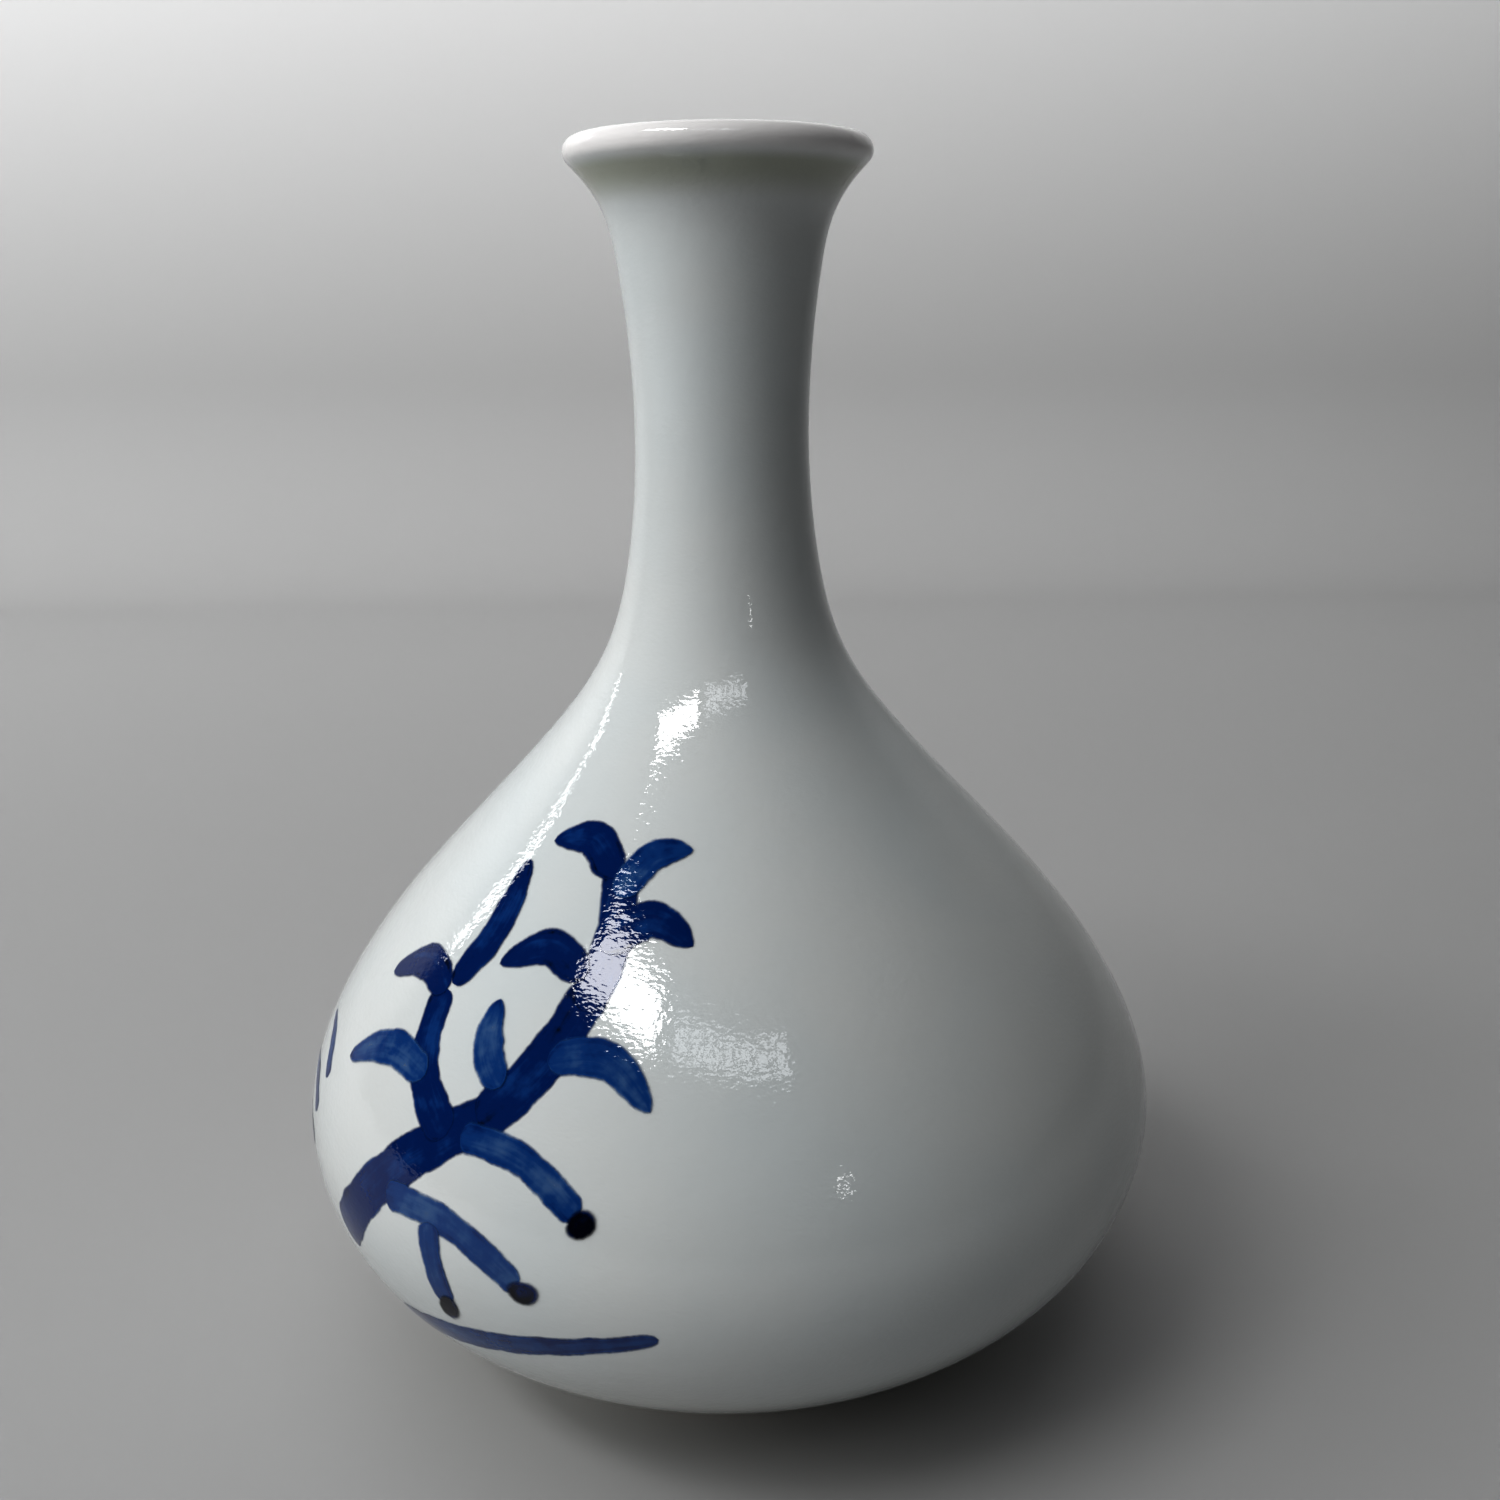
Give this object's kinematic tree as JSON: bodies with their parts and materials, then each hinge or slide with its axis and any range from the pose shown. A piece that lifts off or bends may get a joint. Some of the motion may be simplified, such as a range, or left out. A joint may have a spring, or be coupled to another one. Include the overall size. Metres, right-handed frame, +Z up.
{
  "type": "sake bottle",
  "caption": "Free-standing glazed porcelain sake bottle: low round belly on a foot ring, slim waisted neck, flared mouth with a rolled lip, blue brushed leaf spray.",
  "frame": {"origin": "centre of the foot ring's resting face", "axes": "+Z up along the bottle's axis; the bottle's front, where it is looked at, faces -Y; the brushwork covers the front's -X side"},
  "size_m": [0.1076, 0.1076, 0.15],
  "materials": {
    "porcelain_clay": "fired, under glaze",
    "bare_foot_clay": "bare fired clay, fine sanded",
    "outer_glaze": "gloss, faint blue-green white",
    "inner_glaze": "gloss",
    "base_glaze": "gloss",
    "deep_cobalt": "gloss, streaked cobalt under glaze",
    "washed_cobalt": "gloss, thin cobalt wash under glaze",
    "pooled_cobalt": "gloss, near-black pooled cobalt"
  },
  "bodies": {
    "root": {"belly": "porcelain_clay", "neck": "porcelain_clay", "foot_ring": "bare_foot_clay", "outer_glaze": "outer_glaze", "inner_glaze": "inner_glaze", "base_glaze": "base_glaze", "painted_bough": "deep_cobalt", "painted_ground_line": "deep_cobalt", "painted_berries": "pooled_cobalt", "painted_stems": "washed_cobalt", "painted_deep_leaves": "deep_cobalt", "painted_pale_leaves": "washed_cobalt", "painted_side_leaves": "washed_cobalt"}
  },
  "joints": []
}
